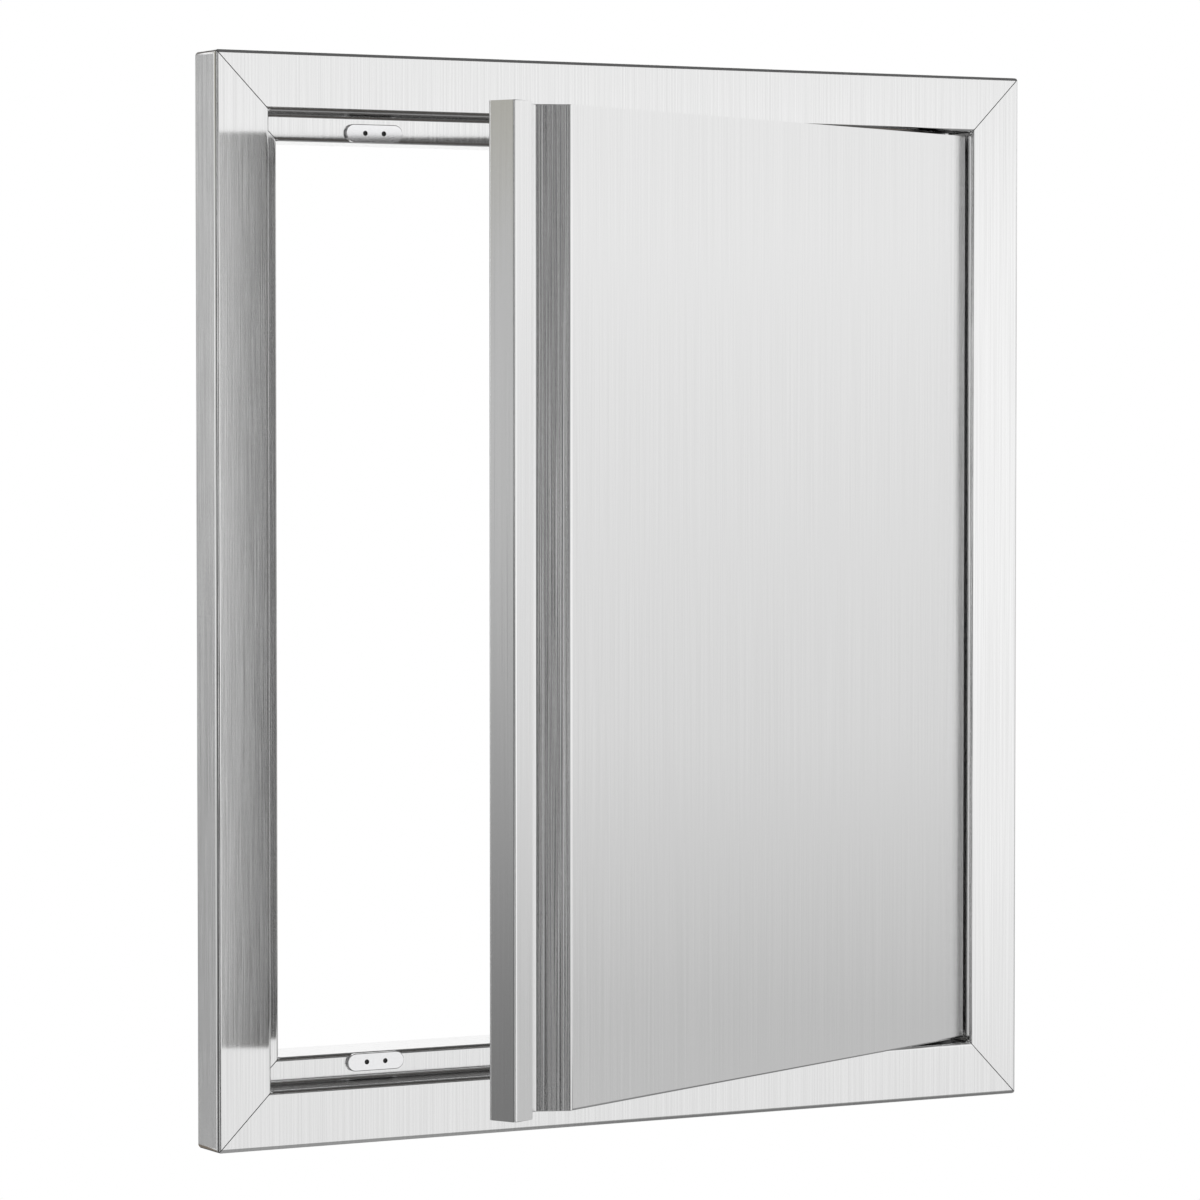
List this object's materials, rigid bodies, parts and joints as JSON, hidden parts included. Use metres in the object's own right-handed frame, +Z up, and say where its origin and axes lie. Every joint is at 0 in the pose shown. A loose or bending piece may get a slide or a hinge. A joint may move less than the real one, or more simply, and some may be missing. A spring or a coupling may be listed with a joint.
{
  "type": "single access door for a barbecue island",
  "caption": "Single stainless access door flush in a mitred frame, with a full-height finger recess, concealed pivot pins and magnetic catches.",
  "frame": {"origin": "centre of the island's cut-out, on the plane of the island's face, midway across and up the frame", "axes": "+X to the right seen from outside, +Y into the island, +Z up"},
  "size_m": [0.44, 0.2102, 0.508],
  "materials": {
    "frame_stainless": "vertical brushed",
    "door_stainless": "vertical brushed",
    "catch_plate": "satin plated",
    "bright_steel": "plain bright",
    "magnet": "dull dark",
    "nylon": "moulded"
  },
  "bodies": {
    "frame": {"frame_top_rail": "frame_stainless", "frame_bottom_rail": "frame_stainless", "frame_latch_stile": "frame_stainless", "frame_hinge_stile": "frame_stainless", "corner_gussets": "bright_steel", "upper_pivot_plate": "bright_steel", "lower_pivot_plate": "bright_steel", "upper_pivot_bush": "nylon", "lower_pivot_pin": "bright_steel", "lower_thrust_washer": "nylon", "upper_catch_plate": "catch_plate", "lower_catch_plate": "catch_plate", "upper_catch_magnet": "magnet", "lower_catch_magnet": "magnet", "upper_catch_rivets": "bright_steel", "lower_catch_rivets": "bright_steel"},
    "door": {"door_skin": "door_stainless", "door_liner": "door_stainless", "lower_hinge_block": "bright_steel", "lower_pivot_bush": "nylon", "upper_pin_bracket": "bright_steel", "pin_spring": "bright_steel", "upper_strike_plate": "bright_steel", "lower_strike_plate": "bright_steel", "strike_rivets": "bright_steel"},
    "upper_pin": {"sprung_hinge_pin": "bright_steel", "pin_pull": "bright_steel", "pin_collar": "bright_steel"}
  },
  "joints": [
    {"name": "door_hinge", "type": "hinge", "parent": "frame", "child": "door", "pos_m": [0.1802, -0.0155, 0], "axis": [0, 0, 1], "range_deg": [-25.5, 79.5]},
    {"name": "upper_pin_slide", "type": "slide", "parent": "door", "child": "upper_pin", "axis": [0, 0, -1], "range_m": [0, 0.006], "stiffness_N_per_m": 400, "springref_m": -0.008, "deforming": ["pin_spring"]}
  ]
}
